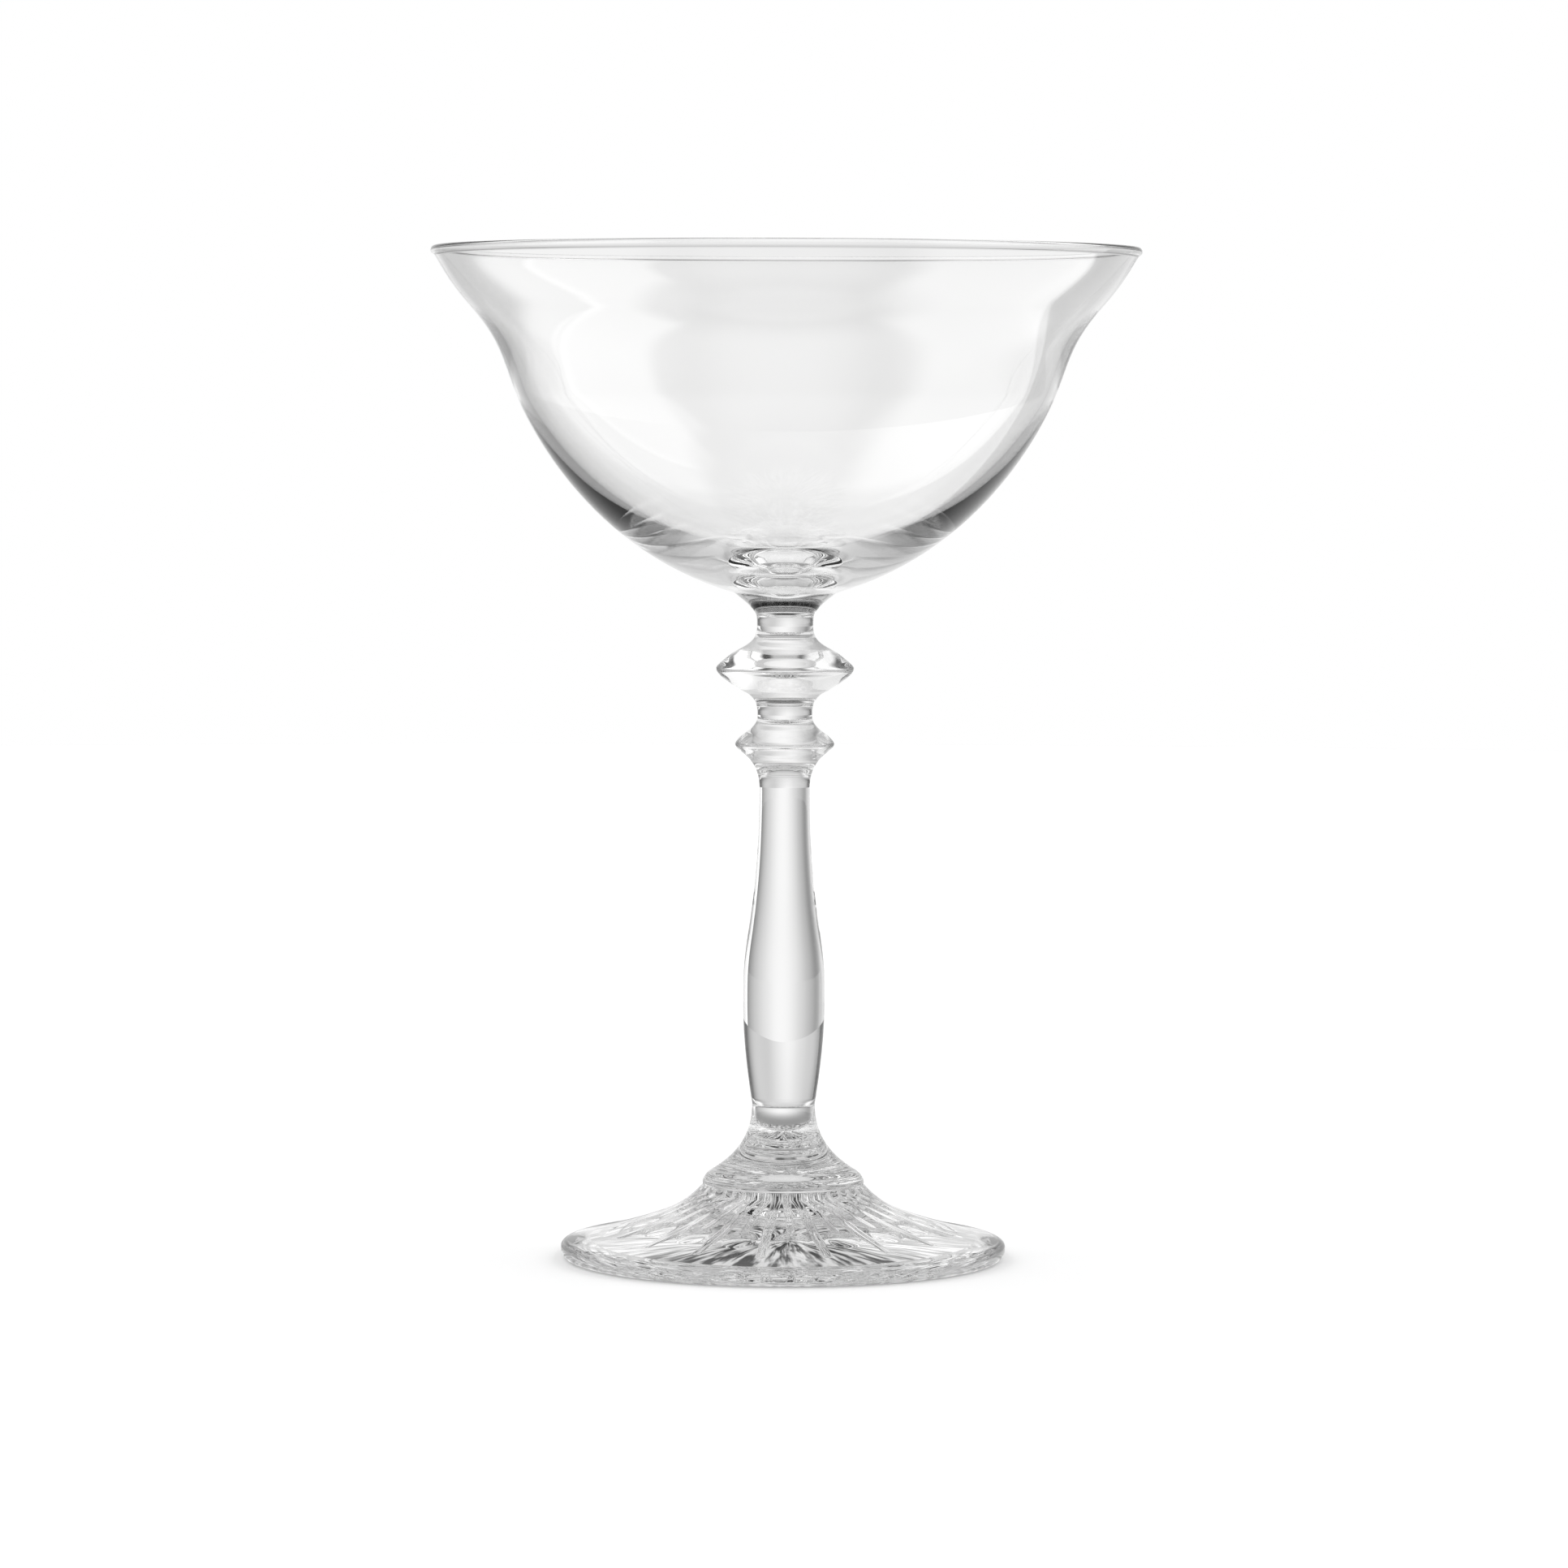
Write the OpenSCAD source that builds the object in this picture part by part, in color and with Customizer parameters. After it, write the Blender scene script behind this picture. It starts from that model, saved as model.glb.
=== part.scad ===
// Coupe glass: a flared bowl on a compound stem with two knops and a ribbed round foot.
// The glass stands upright, its axis is Z and its origin is the centre of the foot's underside.
// Each profile is a row of stations, each of a radius, a height above the piece's lower joint, and
// a slope in degrees from level, measured outwards. A smooth bend joins each station to the next.

/* [Bowl] */
// Height of the bowl above its joint with the stem
bowl_h = 56.9; // [54:0.1:60]
// Outer radius of the rim
rim_r = 55; // [53:0.1:58]
// Radius of the round bead along the rim
bead_r = 0.68; // [0.64:0.02:0.8]
// Thickness of the glass just below the bead
rim_wall = 1; // [0.8:0.05:1.2]
// Slope of the lip just below the rim
lip_slope = 56; // [48:1:64]
// Outer radius in the middle of the flare
flare_r = 49; // [47.5:0.1:50]
// Height of the middle of the flare
flare_h = 47.8; // [46.5:0.1:49]
// Slope in the middle of the flare
flare_slope = 48.5; // [44:0.5:54]
// Outer radius where the belly ends and the flare starts
belly_r = 41.6; // [40:0.1:43]
// Height where the belly ends
belly_h = 33.7; // [32:0.1:36]
// Slope where the belly ends
belly_slope = 68; // [62:1:74]
// Thickness of the glass where the belly ends
belly_wall = 1.4; // [1.1:0.05:1.8]
// Outer radius where the base of the bowl turns into the belly
cup_r = 8; // [7:0.1:9.5]
// Height where the base turns into the belly
cup_h = 3.4; // [2.8:0.1:4]
// Slope where the base turns into the belly
cup_slope = 16; // [12:1:22]
// Thickness of the glass where the base turns into the belly
cup_wall = 4.8; // [4.4:0.05:5.2]
// Thickness of the solid glass between the bowl's floor and its joint
floor_t = 5.2; // [4.8:0.05:5.6]

/* [Merese] */
// Height of the short button between the bowl and the upper knop
merese_h = 3.5; // [2.5:0.1:5]
// Radius of the button at its waist
merese_waist_r = 4.35; // [4:0.05:4.5]
// Radius of the joint between the bowl and the button
bowl_joint_r = 4.5; // [4.3:0.05:5]
// Radius of the joint between the button and the upper knop
merese_joint_r = 4.75; // [4.5:0.05:5.2]

/* [Upper knop] */
// Height of the upper knop
upper_knop_h = 10.2; // [8.5:0.1:12]
// Radius of the upper knop at its equator
upper_knop_r = 10.7; // [9:0.1:12]
// Height of the equator above the knop's lower joint
upper_equator_h = 5.4; // [4.8:0.1:6]
// Slope of the cone below the equator
upper_under_slope = 32; // [26:1:38]
// Slope of the cone above the equator
upper_over_slope = 39; // [32:1:44]
// Radius of the joint between the two knops
knop_joint_r = 4.5; // [4.3:0.05:5]

/* [Lower knop] */
// Height of the lower knop, with the waist above it
lower_knop_h = 11.1; // [10.5:0.1:13]
// Radius of the lower knop at its equator
lower_knop_r = 7.7; // [7:0.1:9]
// Height of the equator above the knop's lower joint
lower_equator_h = 4.7; // [4.2:0.1:5]
// Slope of the cone below the equator
lower_under_slope = 56; // [48:1:60]
// Slope of the cone above the equator
lower_over_slope = 35; // [30:1:42]
// Radius of the waist above the knop
knop_waist_r = 4.25; // [3.9:0.05:4.45]
// Height of the waist above the knop's lower joint
knop_waist_h = 9; // [8.4:0.1:9.6]
// Radius of the joint between the lower knop and the baluster
stem_joint_r = 4.2; // [4.05:0.05:4.6]

/* [Baluster] */
// Height of the baluster
baluster_h = 51.4; // [46:0.1:58]
// Radius of the baluster at its swelling
swell_r = 6.35; // [5.8:0.05:7.2]
// Height of the swelling above the baluster's lower joint
swell_h = 18; // [14:0.5:22]
// Radius of the thinnest place, near the top
slim_r = 3.92; // [3.4:0.02:4]
// Distance of the thinnest place below the upper joint
slim_drop = 2; // [1.5:0.1:3]
// Radius of the joint between the baluster and the foot's collar
stalk_joint_r = 4.9; // [4.6:0.05:5.4]

/* [Foot collar] */
// Height of the collar that joins the stem to the foot
collar_h = 12.6; // [11.5:0.1:14]
// Radius in the middle of the collar's cone
cone_r = 9.6; // [9:0.1:10.2]
// Height of the middle of the cone above the foot
cone_h = 3.3; // [2.8:0.1:3.8]
// Slope of the cone
cone_slope = 37; // [32:1:42]
// Radius of the collar's lower edge, where it sits on the foot
seat_r = 12.5; // [12:0.1:13.2]
// Height of the shoulder above the foot
shoulder_h = 0.8; // [0.5:0.05:1.1]

/* [Foot] */
// Height of the collar's seat above the table
foot_h = 11.6; // [10.8:0.1:13]
// Outer radius of the foot
foot_r = 34.65; // [33:0.05:38]
// Height of the foot's widest line above the table
edge_h = 1.9; // [1.6:0.1:2.2]
// Radius where the rounded edge turns into the top face
brim_r = 33.3; // [32.6:0.1:33.8]
// Height where the rounded edge turns into the top face
brim_h = 3; // [2.7:0.1:3.2]
// Slope of the top face at the rounded edge
brim_slope = 11; // [8:1:15]
// Radius of a place half-way up the top face
apron_r = 22; // [20:0.1:24]
// Height of the place half-way up
apron_h = 6; // [5.6:0.1:6.4]
// Slope half-way up
apron_slope = 18.5; // [15:0.5:22]
// Slope of the top face where it meets the collar
seat_slope = 46; // [38:1:54]
// Outer radius of the ring that the glass rests on
ring_out_r = 32.4; // [31.6:0.1:32.8]
// Inner radius of the ring that the glass rests on
ring_in_r = 29.6; // [28.8:0.1:30.6]
// Height of the hollow under the foot at its centre
hollow_h = 8; // [7.4:0.1:8.6]
// Radius of the level middle of the hollow
hollow_r = 1.5; // [1:0.1:2.5]
// Radius of a place half-way down the hollow
vault_r = 20; // [18:0.1:22]
// Height of the place half-way down the hollow
vault_h = 3.8; // [3.4:0.1:4.2]
// Slope half-way down the hollow
vault_slope = 18; // [14:1:22]

/* [Foot ribs] */
// Number of long ribs, and of short ribs between them
rib_count = 16; // [10:1:16]
// Width of a long rib
long_rib_w = 1.1; // [0.8:0.05:1.2]
// Width of a short rib
short_rib_w = 0.9; // [0.5:0.05:1]
// How far a rib stands out from the underside
rib_drop = 1; // [0.5:0.05:1.1]
// Radius at which the long ribs start
long_rib_in_r = 3.4; // [3.4:0.1:7.5]
// Radius at which the long ribs end
long_rib_out_r = 26; // [24:0.1:26.5]
// Radius at which the short ribs start
short_rib_in_r = 6; // [5.9:0.1:7.5]
// Radius at which the short ribs end
short_rib_out_r = 18.5; // [15:0.1:19]
// Turn of the first long rib from the X axis, in degrees
rib_turn = 15; // [0:0.5:22]
// Distance of the thumb marks from the axis
mark_ring_r = 20.5; // [19.5:0.1:22]
// Radius of a thumb mark
mark_r = 2.6; // [1.6:0.1:2.8]
// Depth of a thumb mark
mark_depth = 0.5; // [0.2:0.05:0.6]

/* [Hidden] */
// Number of flat bands in each bend, and of steps round the rim's bead
bend_steps = 9;
bead_steps = 12;
// Number of steps along a rib
rib_steps = 8;
// How deep the root of a rib is sunk into the foot
rib_root = 0.3;
$fn = 96;
// The colour of clear glass with light behind it
glass = [0.86, 0.9, 0.92, 0.45];

// Heights of the joints above the table
collar_z = foot_h;
baluster_z = collar_z + collar_h;
lower_knop_z = baluster_z + baluster_h;
upper_knop_z = lower_knop_z + lower_knop_h;
merese_z = upper_knop_z + upper_knop_h;
bowl_z = merese_z + merese_h;

// Slopes of the faces where they meet a joint, outwards positive when the face widens upwards
upright = 90;
level = 0;
bowl_joint_slope = 75;
merese_foot_slope = 115;
merese_head_slope = 75;
upper_foot_slope = 60;
upper_head_slope = 122;
lower_foot_slope = 72;
lower_head_slope = 75;
baluster_foot_slope = 81;
baluster_head_slope = 68;
shoulder_slope = 116;

// Handle lengths of each bend, as shares of the distance between its two stations
bowl_outer_shares = [[0.2, 0.05], [0.5, 0.13], [0.4, 0.47], [0.55, 0.25]];
floor_shares = [[0.35, 0.35]];
merese_shares = [[0.28, 0.4], [0.3, 0.3]];
upper_knop_shares = [[0.6, 0.3], [0.5, 0.2], [0.15, 0.33], [0.33, 0.35]];
lower_knop_shares = [[0.45, 0.55], [0.4, 0.2], [0.15, 0.45], [0.27, 0.36], [0.3, 0.5]];
baluster_shares = [[0.56, 0.2], [0.28, 0.6], [0.2, 0.2]];
collar_shares = [[0.2, 0.5], [0.37, 0.6], [0.45, 0.3]];
foot_top_shares = [[0.45, 0.2], [0.31, 0.38], [0.44, 0.4]];
foot_edge_shares = [[0.5, 0.5]];
hollow_shares = [[0.55, 0.3], [0.4, 0.4]];

// Places of the knops' cones, as shares of the way from the joint to the equator
upper_under_share = [0.36, 0.36];
upper_over_share = [0.36, 0.43];
lower_under_share = [0.26, 0.4];
lower_over_share = [0.38, 0.36];

// A point on the bend from station s to station e, at the share t of its length
function bend_point(s, e, k, t) =
    let(h = bend_hull(s, e, k), u = 1 - t)
    u * u * u * h[0] + 3 * u * u * t * h[1] + 3 * u * t * t * h[2] + t * t * t * h[3];

// The way that the bend runs there
function bend_way(s, e, k, t) =
    let(h = bend_hull(s, e, k), u = 1 - t)
    u * u * (h[1] - h[0]) + 2 * u * t * (h[2] - h[1]) + t * t * (h[3] - h[2]);

// The bend's two ends and the handles between them
function bend_hull(s, e, k) =
    let(p = [s[0], s[1]], q = [e[0], e[1]], c = norm(q - p))
    [p, p + k[0] * c * [cos(s[2]), sin(s[2])], q - k[1] * c * [cos(e[2]), sin(e[2])], q];

// All points of a profile, from its first station to its last
function profile(stations, shares) = [
    for (i = [0 : len(shares) - 1], j = [0 : bend_steps - 1])
        bend_point(stations[i], stations[i + 1], shares[i], j / bend_steps),
    let(last = stations[len(shares)]) [last[0], last[1]]
];

// A station moved into the bowl by the wall thickness w, with its slope kept
function inset(s, w) = [s[0] - w * sin(s[2]), s[1] + w * cos(s[2]), s[2]];

// A point of a bend moved into the bowl by a wall that goes from v to w along the bend
function inset_point(s, e, k, t, v, w) =
    let(way = bend_way(s, e, k, t))
    bend_point(s, e, k, t) + (w + (v - w) * pow(1 - t, 2)) * [-way[1], way[0]] / norm(way);

// A place between two stations, at shares of the way across and up, with a slope of its own
function between(s, e, share, slope) =
    [s[0] + share[0] * (e[0] - s[0]), s[1] + share[1] * (e[1] - s[1]), slope];

function backwards(points) = [for (i = [len(points) - 1 : -1 : 0]) points[i]];

module turned(points) {
    rotate_extrude() polygon(points);
}

// A solid piece of stem, closed by flat discs at its two joints
module stem_piece(z, stations, shares) {
    translate([0, 0, z])
        turned(concat([[0, stations[0][1]]], profile(stations, shares), [[0, stations[len(shares)][1]]]));
}

// The rim's bead turns past square to the lip on both sides, until it meets the wall's two faces
bead_wrap = acos(rim_wall / 2 / bead_r);
bead_start = lip_slope - 90 - bead_wrap;
bead_sweep = 180 + 2 * bead_wrap;
bead_centre = [rim_r - bead_r, bowl_h - bead_r];
lip = [
    bead_centre[0] + bead_r * cos(bead_start),
    bead_centre[1] + bead_r * sin(bead_start),
    lip_slope
];
cup = [cup_r, cup_h, cup_slope];
belly = [belly_r, belly_h, belly_slope];
flare = [flare_r, flare_h, flare_slope];
bowl_outer = [[bowl_joint_r, 0, bowl_joint_slope], cup, belly, flare, lip];
bowl_floor = [[0, floor_t, level], inset(cup, cup_wall)];
// Wall thickness at each station of the outer profile, from the cup to the lip
bowl_walls = [cup_wall, belly_wall, rim_wall, rim_wall];
bowl_inner_points = concat(
    [for (j = [0 : bend_steps - 1]) bend_point(bowl_floor[0], bowl_floor[1], floor_shares[0], j / bend_steps)],
    [
        for (i = [0 : 2], j = [0 : bend_steps - 1])
            inset_point(
                bowl_outer[i + 1], bowl_outer[i + 2], bowl_outer_shares[i + 1], j / bend_steps,
                bowl_walls[i], bowl_walls[i + 1]
            )
    ],
    [let(end = inset(lip, rim_wall)) [end[0], end[1]]]
);

module bowl() {
    bead = [
        for (i = [1 : bead_steps - 1])
            let(a = bead_start + bead_sweep * i / bead_steps)
            bead_centre + bead_r * [cos(a), sin(a)]
    ];
    color(glass)
        translate([0, 0, bowl_z])
            turned(concat(
                [[0, 0]],
                profile(bowl_outer, bowl_outer_shares),
                bead,
                backwards(bowl_inner_points)
            ));
}

module bowl_merese() {
    stations = [
        [merese_joint_r, 0, merese_foot_slope],
        [merese_waist_r, merese_h / 2, upright],
        [bowl_joint_r, merese_h, merese_head_slope]
    ];
    color(glass) stem_piece(merese_z, stations, merese_shares);
}

module upper_knop() {
    foot_end = [knop_joint_r, 0, upper_foot_slope];
    equator = [upper_knop_r, upper_equator_h, upright];
    head_end = [merese_joint_r, upper_knop_h, upper_head_slope];
    stations = [
        foot_end,
        between(foot_end, equator, upper_under_share, upper_under_slope),
        equator,
        between(equator, head_end, upper_over_share, 180 - upper_over_slope),
        head_end
    ];
    color(glass) stem_piece(upper_knop_z, stations, upper_knop_shares);
}

module lower_knop() {
    foot_end = [stem_joint_r, 0, lower_foot_slope];
    equator = [lower_knop_r, lower_equator_h, upright];
    waist = [knop_waist_r, knop_waist_h, upright];
    stations = [
        foot_end,
        between(foot_end, equator, lower_under_share, lower_under_slope),
        equator,
        between(equator, waist, lower_over_share, 180 - lower_over_slope),
        waist,
        [knop_joint_r, lower_knop_h, lower_head_slope]
    ];
    color(glass) stem_piece(lower_knop_z, stations, lower_knop_shares);
}

module baluster() {
    stations = [
        [stalk_joint_r, 0, baluster_foot_slope],
        [swell_r, swell_h, upright],
        [slim_r, baluster_h - slim_drop, upright],
        [stem_joint_r, baluster_h, baluster_head_slope]
    ];
    color(glass) stem_piece(baluster_z, stations, baluster_shares);
}

module foot_collar() {
    stations = [
        [seat_r, 0, upright],
        [seat_r, shoulder_h, shoulder_slope],
        [cone_r, cone_h, 180 - cone_slope],
        [stalk_joint_r, collar_h, upright]
    ];
    color(glass) stem_piece(collar_z, stations, collar_shares);
}

foot_edge = [[ring_out_r, 0, level], [foot_r, edge_h, upright]];
foot_top = [
    [foot_r, edge_h, upright],
    [brim_r, brim_h, 180 - brim_slope],
    [apron_r, apron_h, 180 - apron_slope],
    [seat_r, foot_h, 180 - seat_slope]
];
hollow = [
    [hollow_r, hollow_h, level],
    [vault_r, vault_h, -vault_slope],
    [ring_in_r, 0, -vault_slope]
];
hollow_points = profile(hollow, hollow_shares);

// Height of the foot's underside at the radius r
function underside(r) = lookup(r, hollow_points);

// A radial rib that swells out of the underside and sinks back into it at both ends
module rib(in_r, out_r, width) {
    function rib_r(i) = in_r + (out_r - in_r) * i / rib_steps;
    function rib_swell(i) = sin(180 * i / rib_steps);
    rotate([90, 0, 0])
        linear_extrude(height = width, center = true)
            polygon(concat(
                [
                    for (i = [0 : rib_steps])
                        [rib_r(i), underside(rib_r(i)) + rib_root / 2 - (rib_drop + rib_root / 2) * rib_swell(i)]
                ],
                [for (i = [rib_steps : -1 : 0]) [rib_r(i), underside(rib_r(i)) + rib_root]]
            ));
}

// A shallow round hollow pressed into the underside, square to its slope
module thumb_mark() {
    ball_r = (mark_r * mark_r + mark_depth * mark_depth) / (2 * mark_depth);
    translate([mark_ring_r, 0, underside(mark_ring_r)])
        rotate([0, vault_slope, 0])
            translate([0, 0, mark_depth - ball_r])
                sphere(ball_r);
}

module foot() {
    rib_pitch = 360 / rib_count;
    color(glass)
        difference() {
            union() {
                turned(concat(
                    [[0, hollow_h]],
                    hollow_points,
                    profile(foot_edge, foot_edge_shares),
                    profile(foot_top, foot_top_shares),
                    [[0, foot_h]]
                ));
                for (i = [0 : rib_count - 1])
                    rotate(rib_turn + i * rib_pitch) {
                        rib(long_rib_in_r, long_rib_out_r, long_rib_w);
                        rotate(rib_pitch / 2) rib(short_rib_in_r, short_rib_out_r, short_rib_w);
                    }
            }
            for (i = [0 : rib_count - 1])
                rotate(rib_turn + (i + 1 / 2) * rib_pitch) thumb_mark();
        }
}

bowl();
bowl_merese();
upper_knop();
lower_knop();
baluster();
foot_collar();
foot();
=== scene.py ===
"""Coupe glass: a blown bowl on a knopped stem with a pressed, ribbed foot.

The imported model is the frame. Each of its seven pieces is replaced by a smooth turned surface
of the same profile, and a bright studio of white paper and soft windows is set round it.
Profiles are in millimetres, meshes in metres. A station of a profile is a radius, a height and
a slope in degrees: 0 runs level outwards, 90 straight up, and 180 level inwards.
"""
import math

import bpy
import numpy as np
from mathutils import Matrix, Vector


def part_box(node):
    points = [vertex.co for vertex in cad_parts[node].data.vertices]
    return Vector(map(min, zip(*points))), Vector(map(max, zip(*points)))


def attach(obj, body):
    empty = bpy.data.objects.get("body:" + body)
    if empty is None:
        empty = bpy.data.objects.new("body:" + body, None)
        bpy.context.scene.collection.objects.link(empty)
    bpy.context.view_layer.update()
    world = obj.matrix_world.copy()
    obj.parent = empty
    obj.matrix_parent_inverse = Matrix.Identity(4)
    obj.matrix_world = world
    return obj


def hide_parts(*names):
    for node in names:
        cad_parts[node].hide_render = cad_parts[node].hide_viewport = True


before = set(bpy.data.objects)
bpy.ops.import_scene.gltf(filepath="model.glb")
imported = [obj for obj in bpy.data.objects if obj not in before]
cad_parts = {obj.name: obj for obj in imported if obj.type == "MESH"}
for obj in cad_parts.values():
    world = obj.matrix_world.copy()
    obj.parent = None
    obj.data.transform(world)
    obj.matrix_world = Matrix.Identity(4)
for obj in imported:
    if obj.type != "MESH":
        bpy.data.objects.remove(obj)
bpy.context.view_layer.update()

MM = 0.001
UPRIGHT = 90.0
LEVEL = 0.0

# Fineness of the turned surfaces: steps round the axis, and steps along each part of a profile
TURN_STEPS = 384
FOOT_TURN_STEPS = 768
BEND_STEPS = 28
BEAD_STEPS = 20
HOLLOW_STEPS, EDGE_STEPS, TOP_STEPS = 38, 10, 9


def box_mm(node):
    """Lowest height, highest height and largest radius of a CAD node, in millimetres."""
    low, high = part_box(node)
    return low.z / MM, high.z / MM, max(high.x, high.y, -low.x, -low.y) / MM


def inward(slope):
    """Slope of a face that comes in towards the axis as it rises."""
    return 180.0 - slope


def bend(start, end, shares, steps=BEND_STEPS):
    """Cubic curve between two stations.

    The handle at each end runs along that station's slope, for a share of the chord's length,
    and the curve is the usual sum of the two ends and two handles weighted by powers of t and 1 - t.
    """
    p, q = np.array(start[:2], float), np.array(end[:2], float)
    chord = np.linalg.norm(q - p)
    slopes = np.radians([start[2], end[2]])
    p_handle = p + shares[0] * chord * np.array([np.cos(slopes[0]), np.sin(slopes[0])])
    q_handle = q - shares[1] * chord * np.array([np.cos(slopes[1]), np.sin(slopes[1])])
    t = np.linspace(0.0, 1.0, steps + 1)[:, None]
    return ((1 - t) ** 3 * p + 3 * (1 - t) ** 2 * t * p_handle
            + 3 * (1 - t) * t ** 2 * q_handle + t ** 3 * q)


def profile(stations, shares, steps=BEND_STEPS):
    """All bends from the first station to the last, each shared end kept once."""
    bends = [bend(a, b, k, steps) for a, b, k in zip(stations[:-1], stations[1:], shares)]
    return np.vstack([b[:-1] for b in bends] + [bends[-1][-1:]])


def between(start, end, share, slope):
    """A station at shares of the way across and up between two others."""
    across, up = share
    return (start[0] + across * (end[0] - start[0]), start[1] + up * (end[1] - start[1]), slope)


def full_turn(steps):
    """Even angles once round the axis, in radians."""
    return np.linspace(0.0, 2 * np.pi, steps, endpoint=False)


def spin(points, angle=full_turn(TURN_STEPS)):
    """Rings of a profile carried round the axis: x is r cos a, y is r sin a, z is the height."""
    r, z = points[:, 0][:, None], points[:, 1][:, None]
    return np.stack([r * np.cos(angle), r * np.sin(angle), z + 0 * angle], -1)


def grid_faces(rows, columns):
    """Four-sided faces between neighbouring rows of a grid whose columns close on themselves."""
    row = np.arange(rows - 1)[:, None] * columns
    column = np.arange(columns)[None, :]
    after = (column + 1) % columns
    corners = [row + column, row + after, row + columns + after, row + columns + column]
    return np.stack(corners, -1).reshape(-1, 4)


def placed(name, data):
    """A new object of the scene that holds this mesh, lamp or camera."""
    thing = bpy.data.objects.new(name, data)
    bpy.context.scene.collection.objects.link(thing)
    return thing


def turned(name, rings, materials, joints):
    """A closed surface from rings of points, pole to pole.

    rings is an array of rows by columns by 3, in millimetres. The first and last rows are
    closed with a fan round their mean point. joints names the fans that are joint discs:
    "first", "last" or both. They take the second material and stay flat.
    """
    rows, columns, _ = rings.shape
    poles = np.stack([rings[0].mean(0), rings[-1].mean(0)])
    points = np.vstack([rings.reshape(-1, 3), poles]) * MM
    column = np.arange(columns)
    after = (column + 1) % columns
    first_pole, last_pole = rows * columns, rows * columns + 1
    last_row = (rows - 1) * columns
    quads = grid_faces(rows, columns)
    first_fan = np.stack([after, column, np.full(columns, first_pole)], -1)
    last_fan = np.stack([last_row + column, last_row + after, np.full(columns, last_pole)], -1)
    mesh = bpy.data.meshes.new(name)
    mesh.from_pydata(points.tolist(), [], quads.tolist() + first_fan.tolist() + last_fan.tolist())
    is_joint = np.zeros(len(mesh.polygons), bool)
    is_joint[len(quads):len(quads) + columns] = "first" in joints
    is_joint[len(quads) + columns:] = "last" in joints
    for material in materials:
        mesh.materials.append(material)
    mesh.polygons.foreach_set("material_index", is_joint.astype(np.int32))
    mesh.polygons.foreach_set("use_smooth", ~is_joint)
    mesh.validate()
    mesh.update()
    return placed(name, mesh)


# Clear glass: how strongly it bends light, and how fine its faint relief is
GLASS_IOR = 1.5
RELIEF_DETAIL = 2.0


def relief(tree, shader, scale, height):
    """Small uneven relief of hand-finished glass, from noise on object coordinates."""
    coordinates = tree.nodes.new("ShaderNodeTexCoord")
    noise = tree.nodes.new("ShaderNodeTexNoise")
    noise.inputs["Scale"].default_value = scale
    noise.inputs["Detail"].default_value = RELIEF_DETAIL
    bump = tree.nodes.new("ShaderNodeBump")
    bump.inputs["Strength"].default_value = 1.0
    bump.inputs["Distance"].default_value = height
    tree.links.new(coordinates.outputs["Object"], noise.inputs["Vector"])
    tree.links.new(noise.outputs["Fac"], bump.inputs["Height"])
    tree.links.new(bump.outputs["Normal"], shader.inputs["Normal"])


def glass(name, colour, relief_scale, relief_height):
    """Clear fired glass: a fully transmitting shader with a faint relief, its height in metres."""
    material = bpy.data.materials.new(name)
    material.use_nodes = True
    tree = material.node_tree
    shader = tree.nodes["Principled BSDF"]
    shader.inputs["Base Color"].default_value = (*colour, 1.0)
    shader.inputs["Roughness"].default_value = 0.0
    shader.inputs["IOR"].default_value = GLASS_IOR
    shader.inputs["Transmission Weight"].default_value = 1.0
    relief(tree, shader, relief_scale, relief_height)
    return material


def fused_joint():
    """The disc where two pieces are fused: glass meets glass, so light goes straight on."""
    material = bpy.data.materials.new("fused_joint")
    material.use_nodes = True
    tree = material.node_tree
    tree.nodes.remove(tree.nodes["Principled BSDF"])
    through = tree.nodes.new("ShaderNodeBsdfTransparent")
    tree.links.new(through.outputs["BSDF"], tree.nodes["Material Output"].inputs["Surface"])
    return material


BOWL_GLASS = glass("blown_bowl_glass", (0.998, 0.998, 0.997), 35.0, 0.00002)
STEM_GLASS = glass("worked_stem_glass", (0.997, 0.996, 0.995), 90.0, 0.00002)
FOOT_GLASS = glass("pressed_foot_glass", (0.997, 0.996, 0.995), 80.0, 0.00002)
JOINT = fused_joint()

# Bowl, with heights above its joint with the stem. Shares are the handles of each bend.
BOWL_JOINT = (4.5, 0.0, 75.0)
CUP = (8.0, 3.4, 16.0)
BELLY = (41.6, 33.7, 68.0)
FLARE = (49.0, 47.8, 48.5)
LIP_SLOPE = 56.0
BEAD_R = 0.68
CUP_WALL, BELLY_WALL, RIM_WALL = 4.8, 1.4, 1.0
FLOOR_T = 5.2
BOWL_SHARES = ((0.2, 0.05), (0.5, 0.13), (0.4, 0.47), (0.55, 0.25))
FLOOR_SHARES = (0.35, 0.35)


def offset(points, walls):
    """Points of a profile moved to its left by the wall thickness there, square to its run."""
    way = np.gradient(points, axis=0)
    way /= np.linalg.norm(way, axis=1)[:, None]
    return points + walls[:, None] * np.stack([-way[:, 1], way[:, 0]], -1)


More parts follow.
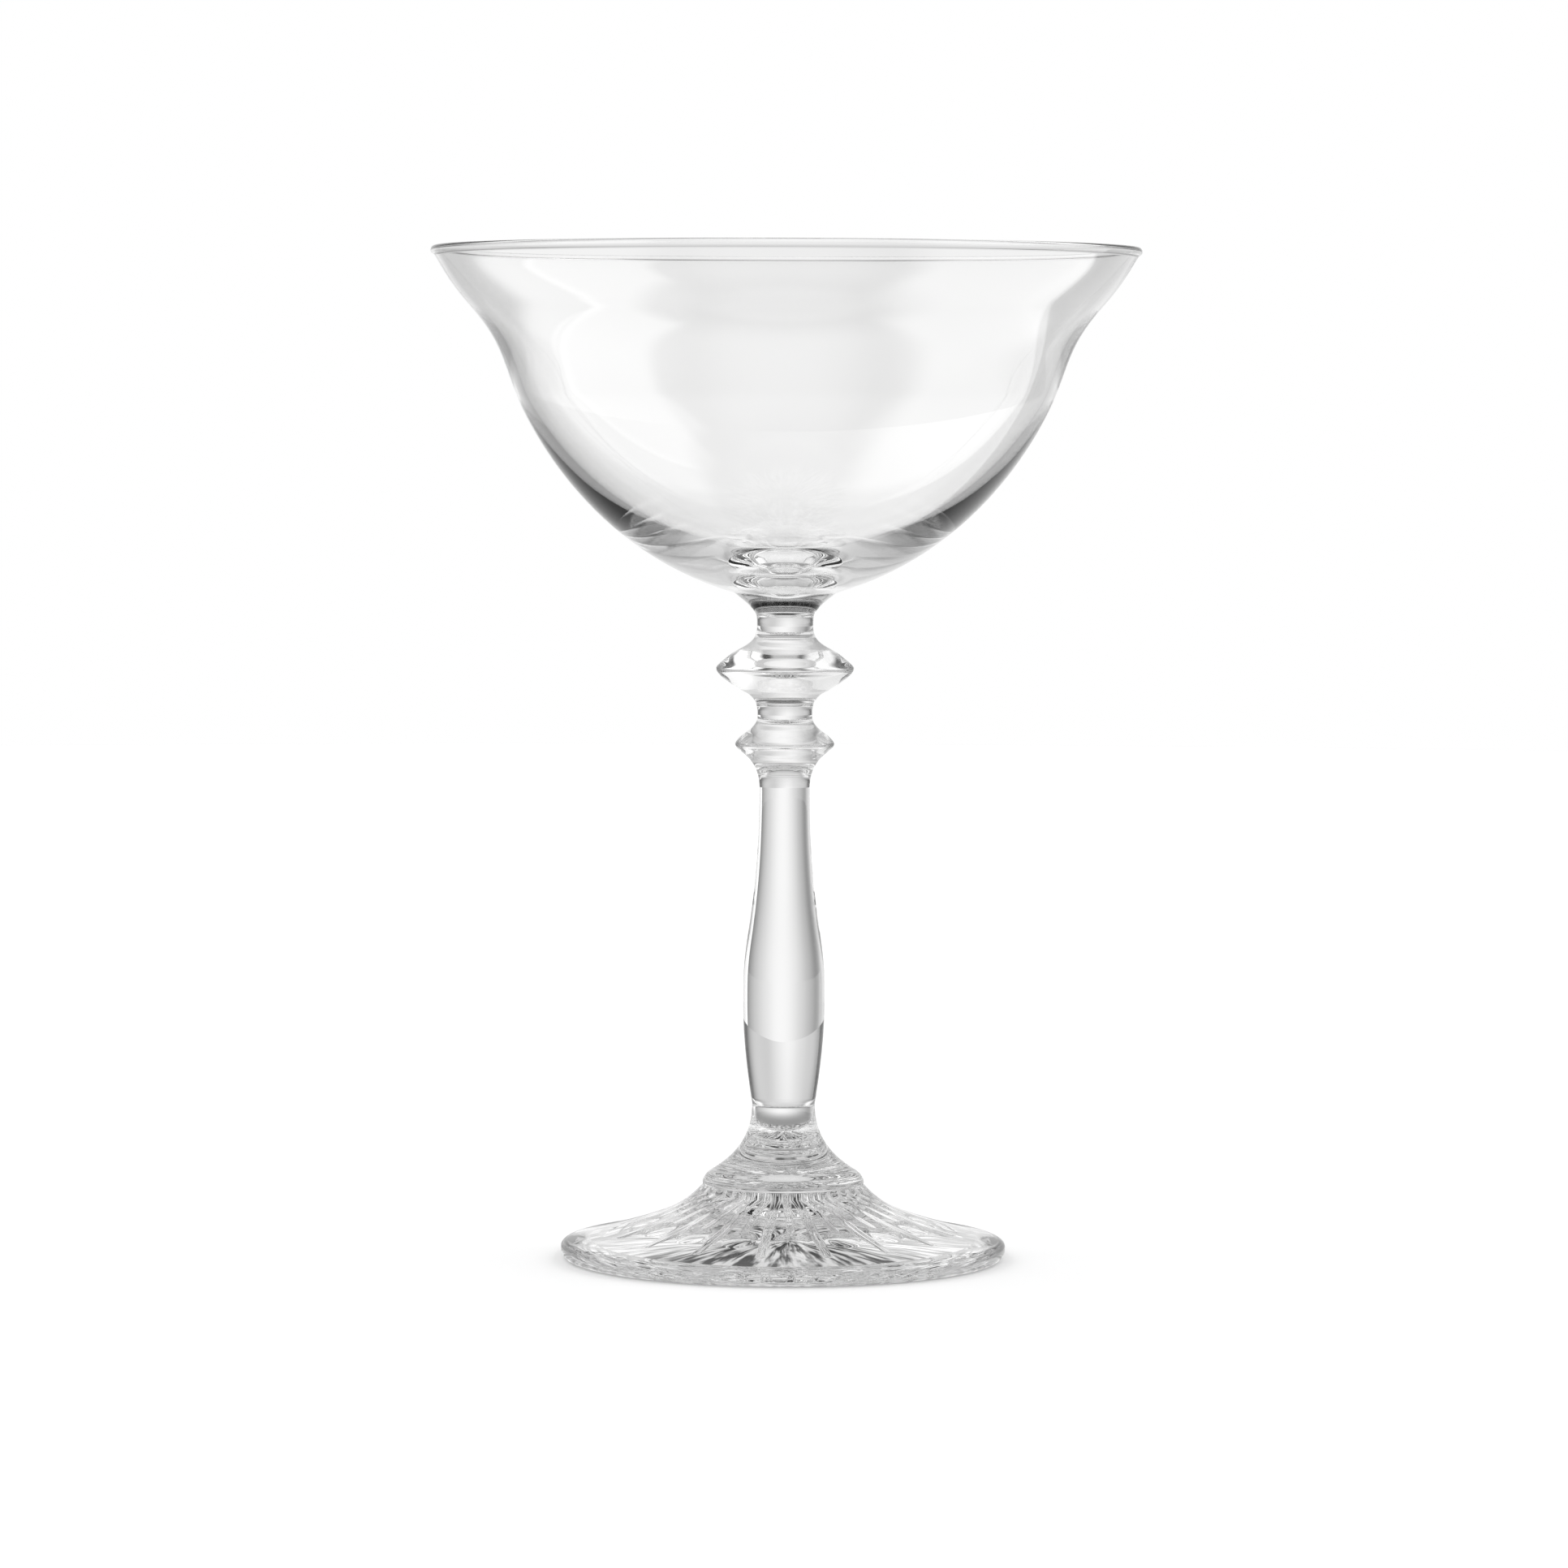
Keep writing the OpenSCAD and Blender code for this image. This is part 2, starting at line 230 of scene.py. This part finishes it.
def bowl_profile():
    """Outer face up to the lip, round bead of the rim, and inner face down to the floor.

    The inner face is the outer one moved inwards by the wall. From the cup to the belly the wall
    thins with the square of what is left of the bend, and above it by the smooth step of that.
    The bead is an arc about its centre that turns past square to the lip on both sides, by the
    angle whose cosine is half the wall over the bead's radius, and so meets both faces. The
    floor's centre is left to the surface's pole.
    """
    low, high, rim_r = box_mm("bowl")
    wrap = math.acos(RIM_WALL / 2 / BEAD_R)
    square = math.radians(LIP_SLOPE - 90)
    turn = square + np.linspace(-wrap, np.pi + wrap, BEAD_STEPS + 1)
    bead_centre = [rim_r - BEAD_R, high - low - BEAD_R]
    bead = bead_centre + BEAD_R * np.stack([np.cos(turn), np.sin(turn)], -1)
    lip = (bead[0, 0], bead[0, 1], LIP_SLOPE)
    stations, walls = (CUP, BELLY, FLARE, lip), (CUP_WALL, BELLY_WALL, RIM_WALL, RIM_WALL)
    t = np.linspace(0.0, 1.0, BEND_STEPS + 1)
    steep, eased = (1 - t) ** 2, (1 - t) ** 2 * (1 + 2 * t)
    outer, inner = [bend(BOWL_JOINT, CUP, BOWL_SHARES[0])[:-1]], []
    for a, b, shares, thick, thin, fall in zip(stations[:-1], stations[1:], BOWL_SHARES[1:],
                                               walls[:-1], walls[1:], (steep, eased, eased)):
        face = bend(a, b, shares)
        outer.append(face[:-1])
        inner.append(offset(face, thin + (thick - thin) * fall)[:-1])
    inner = np.vstack(inner)
    cup_r, cup_h, cup_slope = CUP
    cup_turn = math.radians(cup_slope)
    cup_inner = (cup_r - CUP_WALL * math.sin(cup_turn), cup_h + CUP_WALL * math.cos(cup_turn), cup_slope)
    floor = bend((0.0, FLOOR_T, LEVEL), cup_inner, FLOOR_SHARES)
    whole = np.vstack([*outer, bead, inner[1:][::-1], floor[1:][::-1]])
    return whole[:-1] + [0.0, low]


# Stem, each piece with heights above its lower joint. A place on a cone is given by its shares
# of the way across and up between the stations on either side, and by its slope.
KNOP_JOINT_R = 4.5
STEM_JOINT_R = 4.2
STALK_JOINT_R = 4.9
MERESE_JOINT_R = 4.75
SEAT_R = 12.5

# Slope of each piece's face at its lower and its upper joint
MERESE_ENDS = (115.0, 75.0)
UPPER_ENDS = (60.0, 122.0)
LOWER_ENDS = (72.0, 75.0)
BALUSTER_ENDS = (81.0, 68.0)

MERESE_WAIST_R = 4.35
MERESE_SHARES = ((0.28, 0.4), (0.3, 0.3))

UPPER_EQUATOR_H = 5.4
UPPER_UNDER = ((0.36, 0.36), 32.0)
UPPER_OVER = ((0.36, 0.43), inward(39.0))
UPPER_SHARES = ((0.6, 0.3), (0.5, 0.2), (0.15, 0.33), (0.33, 0.35))

LOWER_EQUATOR_H = 4.7
LOWER_UNDER = ((0.26, 0.4), 56.0)
LOWER_OVER = ((0.38, 0.36), inward(35.0))
LOWER_WAIST = (4.25, 9.0, UPRIGHT)
LOWER_SHARES = ((0.45, 0.55), (0.4, 0.2), (0.15, 0.45), (0.27, 0.36), (0.3, 0.5))

SWELL_H = 18.0
SLIM_R, SLIM_DROP = 3.92, 2.0
BALUSTER_SHARES = ((0.56, 0.2), (0.28, 0.6), (0.2, 0.2))

SHOULDER = (SEAT_R, 0.8, 116.0)
CONE = (9.6, 3.3, inward(37.0))
COLLAR_SHARES = ((0.2, 0.5), (0.37, 0.6), (0.45, 0.3))


def stem_profile(node, stations, shares):
    """A piece of stem from its lower joint to its upper one, set at its height in the frame."""
    low = box_mm(node)[0]
    return profile([(r, low + z, slope) for r, z, slope in stations], shares)


def merese_profile():
    """The button: in from the knop's joint to a waist half-way up, and out again to the bowl."""
    low, high, _ = box_mm("bowl_merese")
    h = high - low
    return stem_profile("bowl_merese", [
        (MERESE_JOINT_R, 0.0, MERESE_ENDS[0]),
        (MERESE_WAIST_R, h / 2, UPRIGHT),
        (BOWL_JOINT[0], h, MERESE_ENDS[1]),
    ], MERESE_SHARES)


def upper_knop_profile():
    """The large knop: a cone out to a sharp equator and a steeper one in to the button."""
    low, high, equator_r = box_mm("upper_knop")
    foot_end = (KNOP_JOINT_R, 0.0, UPPER_ENDS[0])
    equator = (equator_r, UPPER_EQUATOR_H, UPRIGHT)
    head_end = (MERESE_JOINT_R, high - low, UPPER_ENDS[1])
    return stem_profile("upper_knop", [
        foot_end,
        between(foot_end, equator, *UPPER_UNDER),
        equator,
        between(equator, head_end, *UPPER_OVER),
        head_end,
    ], UPPER_SHARES)


def lower_knop_profile():
    """The small knop and the waist above it."""
    low, high, equator_r = box_mm("lower_knop")
    foot_end = (STEM_JOINT_R, 0.0, LOWER_ENDS[0])
    equator = (equator_r, LOWER_EQUATOR_H, UPRIGHT)
    return stem_profile("lower_knop", [
        foot_end,
        between(foot_end, equator, *LOWER_UNDER),
        equator,
        between(equator, LOWER_WAIST, *LOWER_OVER),
        LOWER_WAIST,
        (KNOP_JOINT_R, high - low, LOWER_ENDS[1]),
    ], LOWER_SHARES)


def baluster_profile():
    """The long stem: out to its swelling, in to its thinnest place, and out to the knop's joint."""
    low, high, swell_r = box_mm("baluster")
    h = high - low
    return stem_profile("baluster", [
        (STALK_JOINT_R, 0.0, BALUSTER_ENDS[0]),
        (swell_r, SWELL_H, UPRIGHT),
        (SLIM_R, h - SLIM_DROP, UPRIGHT),
        (STEM_JOINT_R, h, BALUSTER_ENDS[1]),
    ], BALUSTER_SHARES)


def collar_profile():
    """The collar: a low wall on the foot, a shoulder, and a hollow cone up to the stalk."""
    low, high, _ = box_mm("foot_collar")
    return stem_profile("foot_collar", [
        (SEAT_R, 0.0, UPRIGHT),
        SHOULDER,
        CONE,
        (STALK_JOINT_R, high - low, UPRIGHT),
    ], COLLAR_SHARES)


# Foot, with heights above the table
RING_OUT_R, RING_IN_R = 32.4, 29.6
EDGE_H = 1.9
BRIM = (33.3, 3.0, inward(11.0))
APRON = (22.0, 6.0, inward(18.5))
SEAT_SLOPE = inward(46.0)
HOLLOW = ((1.5, 8.0, LEVEL), (20.0, 3.8, -18.0), (RING_IN_R, 0.0, -18.0))
HOLLOW_SHARES = ((0.55, 0.3), (0.4, 0.4))
EDGE_SHARES = (0.5, 0.5)
TOP_SHARES = ((0.45, 0.2), (0.31, 0.38), (0.44, 0.4))

# Rings across the level middle of the hollow, as shares of its radius
MIDDLE_RINGS = np.linspace(0.3, 1.0, 4)[:-1, None]

# Ribs under the foot: inner radius, outer radius and width of the long and the short ones
RIB_COUNT = 16
RIB_TURN = 15.0
RIB_DROP = 1.0
LONG_RIB = (3.4, 26.0, 1.1)
SHORT_RIB = (6.0, 18.5, 0.9)
HALF_PITCH = 180.0 / RIB_COUNT
CROWDING = 0.55
MARK_RING_R, MARK_R, MARK_DEPTH = 20.5, 2.6, 0.5


def off_spoke(angle, turn):
    """Angle from the nearest of the evenly spaced spokes, the first of which stands at turn."""
    pitch = 2 * np.pi / RIB_COUNT
    return (angle - math.radians(turn) + pitch / 2) % pitch - pitch / 2


def ribs(r, angle, turn, in_r, out_r, width):
    """Height of a fan of radial ribs.

    Across its width a rib is half an ellipse, the root of one less the squared share of the half
    width. Along its length it rises as the root of a sine from the inner radius to the outer one.
    """
    across = off_spoke(angle, turn) * r
    along = np.clip((r - in_r) / (out_r - in_r), 0.0, 1.0)
    bump = np.sqrt(np.clip(1 - (2 * across / width) ** 2, 0.0, 1.0))
    return bump * np.sqrt(np.sin(np.pi * along))


def marks(r, angle, turn):
    """Depth of a ring of round thumb marks: one less the squared distance over the mark's radius."""
    off = off_spoke(angle, turn)
    x, y = r * np.cos(off) - MARK_RING_R, r * np.sin(off)
    return np.clip(1 - (x ** 2 + y ** 2) / MARK_R ** 2, 0.0, 1.0)


def foot_rings():
    """Rings of the foot: out from the hollow's centre, over the edge, and up to the collar's seat.

    The columns crowd towards the ribs: each angle gives way by a share of the sine of the
    angle times the number of ribs. The underside then sinks in by the thumb marks, and comes
    down by the long and the short ribs.
    """
    _, high, foot_r = box_mm("foot")
    edge_end = (foot_r, EDGE_H, UPRIGHT)
    middle = MIDDLE_RINGS * [HOLLOW[0][0], 0.0] + [0.0, HOLLOW[0][1]]
    under = profile(HOLLOW, HOLLOW_SHARES, HOLLOW_STEPS)
    edge = bend((RING_OUT_R, 0.0, LEVEL), edge_end, EDGE_SHARES, EDGE_STEPS)
    top = profile([edge_end, BRIM, APRON, (SEAT_R, high, SEAT_SLOPE)], TOP_SHARES, TOP_STEPS)
    points = np.vstack([middle, under, edge, top[1:]])
    even = full_turn(FOOT_TURN_STEPS)
    spokes = 2 * RIB_COUNT
    angle = even - CROWDING / spokes * np.sin(spokes * (even - math.radians(RIB_TURN)))
    rings = spin(points, angle)
    angle, r = angle[None, :], points[:, 0][:, None]
    pattern = (MARK_DEPTH * marks(r, angle, RIB_TURN + HALF_PITCH)
               - RIB_DROP * ribs(r, angle, RIB_TURN, *LONG_RIB)
               - RIB_DROP * ribs(r, angle, RIB_TURN + HALF_PITCH, *SHORT_RIB))
    is_under = (np.arange(len(points)) < len(middle) + len(under))[:, None]
    rings[:, :, 2] += np.where(is_under, pattern, 0.0)
    return rings


def dress(node, piece):
    """Hides a CAD node and sets the piece that stands for it under the root body."""
    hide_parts(node)
    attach(piece, "root")


def build_glass():
    """The seven pieces, each with a joint disc wherever it is fused to its neighbour."""
    bowl = turned("bowl_blown", spin(bowl_profile()), (BOWL_GLASS, JOINT), ("first",))
    dress("bowl", bowl)
    for node, points in (
        ("bowl_merese", merese_profile()),
        ("upper_knop", upper_knop_profile()),
        ("lower_knop", lower_knop_profile()),
        ("baluster", baluster_profile()),
        ("foot_collar", collar_profile()),
    ):
        piece = turned(node + "_worked", spin(points), (STEM_GLASS, JOINT), ("first", "last"))
        dress(node, piece)
    foot = turned("foot_pressed", foot_rings(), (FOOT_GLASS, JOINT), ("last",))
    dress("foot", foot)


def math_node(tree, operation, *values):
    """A Math node fed by sockets or plain numbers; its result socket."""
    node = tree.nodes.new("ShaderNodeMath")
    node.operation = operation
    for slot, value in zip(node.inputs, values):
        if isinstance(value, (int, float)):
            slot.default_value = value
        else:
            tree.links.new(value, slot)
    return node.outputs[0]


def smooth_step(tree, value, start, end):
    """Smooth rise from 0 at start to 1 at end, or a fall where start is the larger."""
    node = tree.nodes.new("ShaderNodeMapRange")
    node.interpolation_type = "SMOOTHSTEP"
    rising = start < end
    node.inputs["From Min"].default_value = min(start, end)
    node.inputs["From Max"].default_value = max(start, end)
    node.inputs["To Min"].default_value = 0.0 if rising else 1.0
    node.inputs["To Max"].default_value = 1.0 if rising else 0.0
    tree.links.new(value, node.inputs["Value"])
    return node.outputs["Result"]


def soft_band(tree, value, ends, soft):
    """One between two ends and nothing outside them, eased by a softness either side of each end."""
    rise = smooth_step(tree, value, ends[0] - soft[0], ends[0] + soft[0])
    fall = smooth_step(tree, value, ends[1] + soft[1], ends[1] - soft[1])
    return math_node(tree, "MULTIPLY", rise, fall)


def axes_of(tree, coordinates):
    """The X, Y and Z of a texture coordinate."""
    source = tree.nodes.new("ShaderNodeTexCoord")
    split = tree.nodes.new("ShaderNodeSeparateXYZ")
    tree.links.new(source.outputs[coordinates], split.inputs["Vector"])
    return split.outputs["X"], split.outputs["Y"], split.outputs["Z"]


def in_degrees(tree, angle):
    """An angle in degrees, from one in radians."""
    return math_node(tree, "MULTIPLY", angle, 180 / math.pi)


# Windows of light round the glass: turn from straight behind it, to the right, and lift over the
# horizon, in degrees; softness of the left, right, lower and upper edges; brightness.
WINDOWS = (
    ((-17.0, 9.0), (-20.0, 8.0), (14.0, 14.0, 5.0, 14.0), 0.38),
    ((-36.0, 36.0), (-20.0, 20.0), (26.0, 26.0, 5.0, 20.0), 0.56),
    ((-34.0, 34.0), (14.0, 40.0), (24.0, 24.0, 14.0, 8.0), 0.46),
    ((-400.0, 400.0), (74.0, 100.0), (1.0, 1.0, 4.0, 5.0), 0.5),
    ((58.0, 112.0), (14.0, 62.0), (2.0, 5.0, 4.0, 4.0), 1.25),
    ((-112.0, -36.0), (18.0, 66.0), (10.0, 8.0, 8.0, 8.0), 1.0),
    ((34.0, 60.0), (18.0, 60.0), (6.0, 6.0, 6.0, 6.0), 0.9),
    ((-150.0, -90.0), (-10.0, 24.0), (26.0, 12.0, 5.0, 16.0), 0.5),
    ((95.0, 150.0), (-10.0, 24.0), (8.0, 26.0, 5.0, 16.0), 0.4),
    ((26.0, 54.0), (-20.0, 8.0), (14.0, 14.0, 5.0, 6.0), 0.3),
    ((-54.0, -26.0), (-20.0, 8.0), (14.0, 14.0, 5.0, 6.0), 0.26),
    ((155.0, 205.0), (-20.0, 45.0), (25.0, 25.0, 10.0, 20.0), 0.5),
    ((-205.0, -155.0), (-20.0, 45.0), (25.0, 25.0, 10.0, 20.0), 0.5),
)
DIM_ROOM = 0.04

# A bright ceiling on the near side: its lifts, softness and brightness, and the turns it comes in
CEILING_LIFTS, CEILING_SOFT, CEILING_BRIGHT = (40.0, 62.0), (24.0, 16.0), 0.75
CEILING_TURN = (95.0, 150.0)


def window_light(tree, turn, lift, turns, lifts, soft, bright):
    """A bright patch of the studio between two turns and two lifts, with soft edges."""
    patch = math_node(tree, "MULTIPLY", soft_band(tree, turn, turns, soft[:2]),
                      soft_band(tree, lift, lifts, soft[2:]))
    return math_node(tree, "MULTIPLY", patch, bright)


def ceiling_light(tree, turn, lift):
    """The ceiling's band of lifts, which comes in with the turn towards the near side."""
    near_side = smooth_step(tree, math_node(tree, "ABSOLUTE", turn), *CEILING_TURN)
    band = soft_band(tree, lift, CEILING_LIFTS, CEILING_SOFT)
    return math_node(tree, "MULTIPLY", math_node(tree, "MULTIPLY", band, near_side), CEILING_BRIGHT)


def studio():
    """The room as the glass sees it: bright windows in a dim room. The camera sees plain white."""
    world = bpy.data.worlds.new("photo_studio")
    bpy.context.scene.world = world
    world.use_nodes = True
    tree = world.node_tree
    background = tree.nodes["Background"]
    background.inputs["Color"].default_value = (1.0, 1.0, 1.0, 1.0)
    x, y, z = axes_of(tree, "Generated")
    turn = in_degrees(tree, math_node(tree, "ARCTAN2", x, y))
    lift = in_degrees(tree, math_node(tree, "ARCSINE", z))
    light = math_node(tree, "ADD", ceiling_light(tree, turn, lift), DIM_ROOM)
    for window in WINDOWS:
        light = math_node(tree, "ADD", light, window_light(tree, turn, lift, *window))
    path = tree.nodes.new("ShaderNodeLightPath")
    light = math_node(tree, "MAXIMUM", light, path.outputs["Is Camera Ray"])
    tree.links.new(light, background.inputs["Strength"])


# The paper as the glass sees it, lit by the same windows: turns, their softness and brightness,
# far from the foot and near it, and the distances between which one gives way to the other
PAPER_FAR = (
    ((-12.0, 18.0), (14.0, 14.0), 0.34),
    ((-36.0, 46.0), (26.0, 22.0), 0.6),
    ((53.0, 130.0), (1.2, 14.0), 1.15),
    ((-130.0, -52.0), (14.0, 16.0), 0.85),
    ((150.0, 210.0), (20.0, 20.0), 0.5),
    ((-210.0, -145.0), (20.0, 20.0), 0.5),
)
PAPER_NEAR = (
    ((-200.0, 200.0), (1.0, 1.0), 0.3),
    ((50.0, 135.0), (8.0, 14.0), 0.55),
    ((-135.0, -50.0), (14.0, 14.0), 0.5),
)
PAPER_BLEND = (0.05, 0.12)
PAPER_WHITE = (0.93, 0.93, 0.93, 1.0)
PAPER_R, PAPER_DROP, PAPER_SIDES = 1.5, 0.00003, 96

# Light thrown under the foot: fineness of its streaks across and along, the edges of a streak,
# its brightness and the shade between streaks, and the distances over which it fades out
SHINE_SCALE, SHINE_RUN, SHINE_DETAIL = 20.0, 6.0, 2.0
SHINE_EDGE = (0.38, 0.62)
SHINE_BRIGHT, SHINE_DIM = 0.75, 0.28
SHINE_END = (0.045, 0.034)


def turn_light(tree, turn, windows, base):
    """Sum of a base and of windows of light that differ only by turn."""
    light = base
    for turns, soft, bright in windows:
        window = math_node(tree, "MULTIPLY", soft_band(tree, turn, turns, soft), bright)
        light = math_node(tree, "ADD", light, window)
    return light


def rib_shine(tree, x, y, away):
    """Streaks of light that the ribs throw on the paper under the foot, and the shade between them.

    Noise on the unit direction from the axis makes the streaks. They change with the distance.
    """
    across = tree.nodes.new("ShaderNodeCombineXYZ")
    tree.links.new(math_node(tree, "DIVIDE", x, away), across.inputs["X"])
    tree.links.new(math_node(tree, "DIVIDE", y, away), across.inputs["Y"])
    tree.links.new(math_node(tree, "MULTIPLY", away, SHINE_RUN), across.inputs["Z"])
    noise = tree.nodes.new("ShaderNodeTexNoise")
    noise.inputs["Scale"].default_value = SHINE_SCALE
    noise.inputs["Detail"].default_value = SHINE_DETAIL
    tree.links.new(across.outputs["Vector"], noise.inputs["Vector"])
    streak = smooth_step(tree, noise.outputs["Fac"], *SHINE_EDGE)
    shine = math_node(tree, "SUBTRACT", math_node(tree, "MULTIPLY", streak, SHINE_BRIGHT), SHINE_DIM)
    return math_node(tree, "MULTIPLY", shine, smooth_step(tree, away, *SHINE_END))


def paper_light(tree):
    """Light of the paper in the glass: by turn round the foot, and blended from near to far."""
    x, y, _ = axes_of(tree, "Object")
    turn = in_degrees(tree, math_node(tree, "ARCTAN2", x, y))
    squares = [math_node(tree, "MULTIPLY", side, side) for side in (x, y)]
    away = math_node(tree, "SQRT", math_node(tree, "ADD", *squares))
    near = math_node(tree, "ADD", turn_light(tree, turn, PAPER_NEAR, 0.0), rib_shine(tree, x, y, away))
    mix = tree.nodes.new("ShaderNodeMix")
    tree.links.new(smooth_step(tree, away, *PAPER_BLEND), mix.inputs["Factor"])
    tree.links.new(math_node(tree, "MAXIMUM", near, 0.0), mix.inputs["A"])
    tree.links.new(turn_light(tree, turn, PAPER_FAR, DIM_ROOM), mix.inputs["B"])
    return mix.outputs["Result"]


def white_paper():
    """Plain matt paper to the camera, and the lit paper of the studio to the glass."""
    material = bpy.data.materials.new("white_paper")
    material.use_nodes = True
    tree = material.node_tree
    tree.nodes.remove(tree.nodes["Principled BSDF"])
    paper = tree.nodes.new("ShaderNodeBsdfDiffuse")
    paper.inputs["Color"].default_value = PAPER_WHITE
    glow = tree.nodes.new("ShaderNodeEmission")
    pick = tree.nodes.new("ShaderNodeMixShader")
    path = tree.nodes.new("ShaderNodeLightPath")
    tree.links.new(paper_light(tree), glow.inputs["Strength"])
    tree.links.new(path.outputs["Is Camera Ray"], pick.inputs["Fac"])
    tree.links.new(glow.outputs["Emission"], pick.inputs[1])
    tree.links.new(paper.outputs["BSDF"], pick.inputs[2])
    tree.links.new(pick.outputs["Shader"], tree.nodes["Material Output"].inputs["Surface"])
    return material


def white_floor():
    """A plain pale round floor, a hair below the foot's resting ring."""
    edge = full_turn(PAPER_SIDES)
    depth = np.full(PAPER_SIDES, -PAPER_DROP)
    points = np.stack([PAPER_R * np.cos(edge), PAPER_R * np.sin(edge), depth], -1)
    mesh = bpy.data.meshes.new("floor")
    mesh.from_pydata(points.tolist(), [], [tuple(range(PAPER_SIDES))])
    mesh.materials.append(white_paper())
    placed("floor", mesh)


# Width and tilt of the sky over the paper, in degrees
SKY_WIDTH, SKY_TILT = 110.0, -25.0


def lamp(name, energy, shades):
    """A wide soft sky that lights the paper evenly, with or without the glass's shadow."""
    sky = bpy.data.lights.new(name, "SUN")
    sky.angle = math.radians(SKY_WIDTH)
    sky.energy = energy
    sky.use_shadow = shades
    holder = placed(name, sky)
    holder.rotation_euler = (math.radians(SKY_TILT), 0.0, 0.0)
    holder.visible_glossy = False
    holder.visible_transmission = False


def lamps():
    """Two skies: clear glass lets most of the light through, so only one of them casts its shadow."""
    lamp("shading_sky", 0.7, True)
    lamp("filling_sky", 1.35, False)


def camera():
    """Near table height, a metre off, looking a little down at the stem."""
    distance, eye, aside = 0.99, 0.133, 0.0003
    pitch, roll = math.radians(3.407), math.radians(0.2)
    view = bpy.data.cameras.new("camera")
    view.lens, view.sensor_width = 146.5, 36.0
    view.clip_start = 0.01
    holder = placed("camera", view)
    holder.rotation_mode = "XYZ"
    holder.location = (-aside, -distance, eye)
    holder.rotation_euler = (math.pi / 2 - pitch, -roll, 0.0)
    bpy.context.scene.camera = holder


def look():
    """Plain tones, and enough bounces for light to find its way through the glass."""
    scene = bpy.context.scene
    scene.view_settings.view_transform = "Standard"
    scene.cycles.caustics_reflective = False
    scene.cycles.caustics_refractive = True
    scene.cycles.max_bounces = 32
    scene.cycles.transmission_bounces = 32
    scene.cycles.glossy_bounces = 16
    scene.cycles.transparent_max_bounces = 32


build_glass()
white_floor()
studio()
lamps()
camera()
look()
